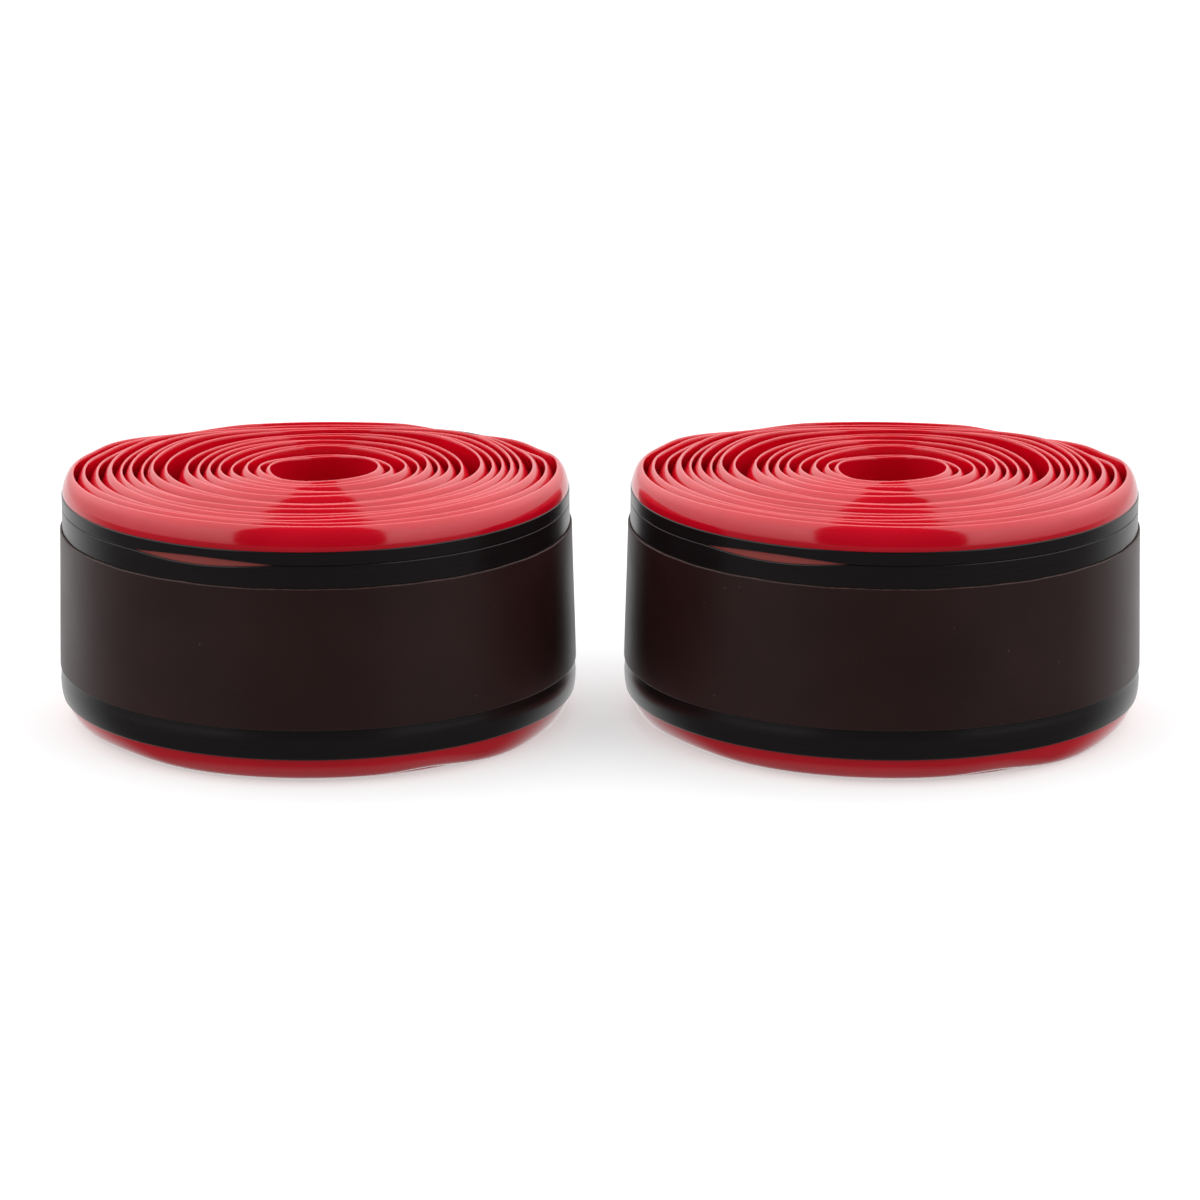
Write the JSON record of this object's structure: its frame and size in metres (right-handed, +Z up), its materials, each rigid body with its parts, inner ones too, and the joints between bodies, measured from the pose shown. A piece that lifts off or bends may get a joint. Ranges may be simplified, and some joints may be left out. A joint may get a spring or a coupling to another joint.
{
  "type": "bicycle tyre liner",
  "caption": "Pair of flexible puncture-guard strips for bicycle tyres, each rolled into a tight spiral and held shut by flat bands.",
  "frame": {"origin": "middle of the pair on the table, under the middle of its bounding box", "axes": "+Z up, -Y towards the front of the pair, +X along the line through the two rolls"},
  "size_m": [0.1738, 0.0842, 0.041],
  "materials": {
    "liner": "glossy",
    "black_band": "satin",
    "brown_band": "matte"
  },
  "bodies": {
    "left_roll": {"left_liner_strip": "liner"},
    "left_wide_band": {"left_wide_black_band": "black_band"},
    "left_narrow_band": {"left_narrow_black_band": "black_band"},
    "left_outer_band": {"left_brown_band": "brown_band"},
    "right_roll": {"right_liner_strip": "liner"},
    "right_wide_band": {"right_wide_black_band": "black_band"},
    "right_narrow_band": {"right_narrow_black_band": "black_band"},
    "right_outer_band": {"right_brown_band": "brown_band"}
  },
  "joints": [
    {"name": "right_roll_lift", "type": "slide", "parent": "left_roll", "child": "right_roll", "axis": [0, 0, 1], "range_m": [0, 0.06]},
    {"name": "left_wide_band_slide", "type": "slide", "parent": "left_roll", "child": "left_wide_band", "axis": [0, 0, 1], "range_m": [0, 0.045]},
    {"name": "left_narrow_band_slide", "type": "slide", "parent": "left_wide_band", "child": "left_narrow_band", "axis": [0, 0, 1], "range_m": [0, 0.02]},
    {"name": "left_outer_band_slide", "type": "slide", "parent": "left_wide_band", "child": "left_outer_band", "axis": [0, 0, 1], "range_m": [0, 0.045]},
    {"name": "right_wide_band_slide", "type": "slide", "parent": "right_roll", "child": "right_wide_band", "axis": [0, 0, 1], "range_m": [0, 0.045]},
    {"name": "right_narrow_band_slide", "type": "slide", "parent": "right_wide_band", "child": "right_narrow_band", "axis": [0, 0, 1], "range_m": [0, 0.02]},
    {"name": "right_outer_band_slide", "type": "slide", "parent": "right_wide_band", "child": "right_outer_band", "axis": [0, 0, 1], "range_m": [0, 0.045]}
  ]
}
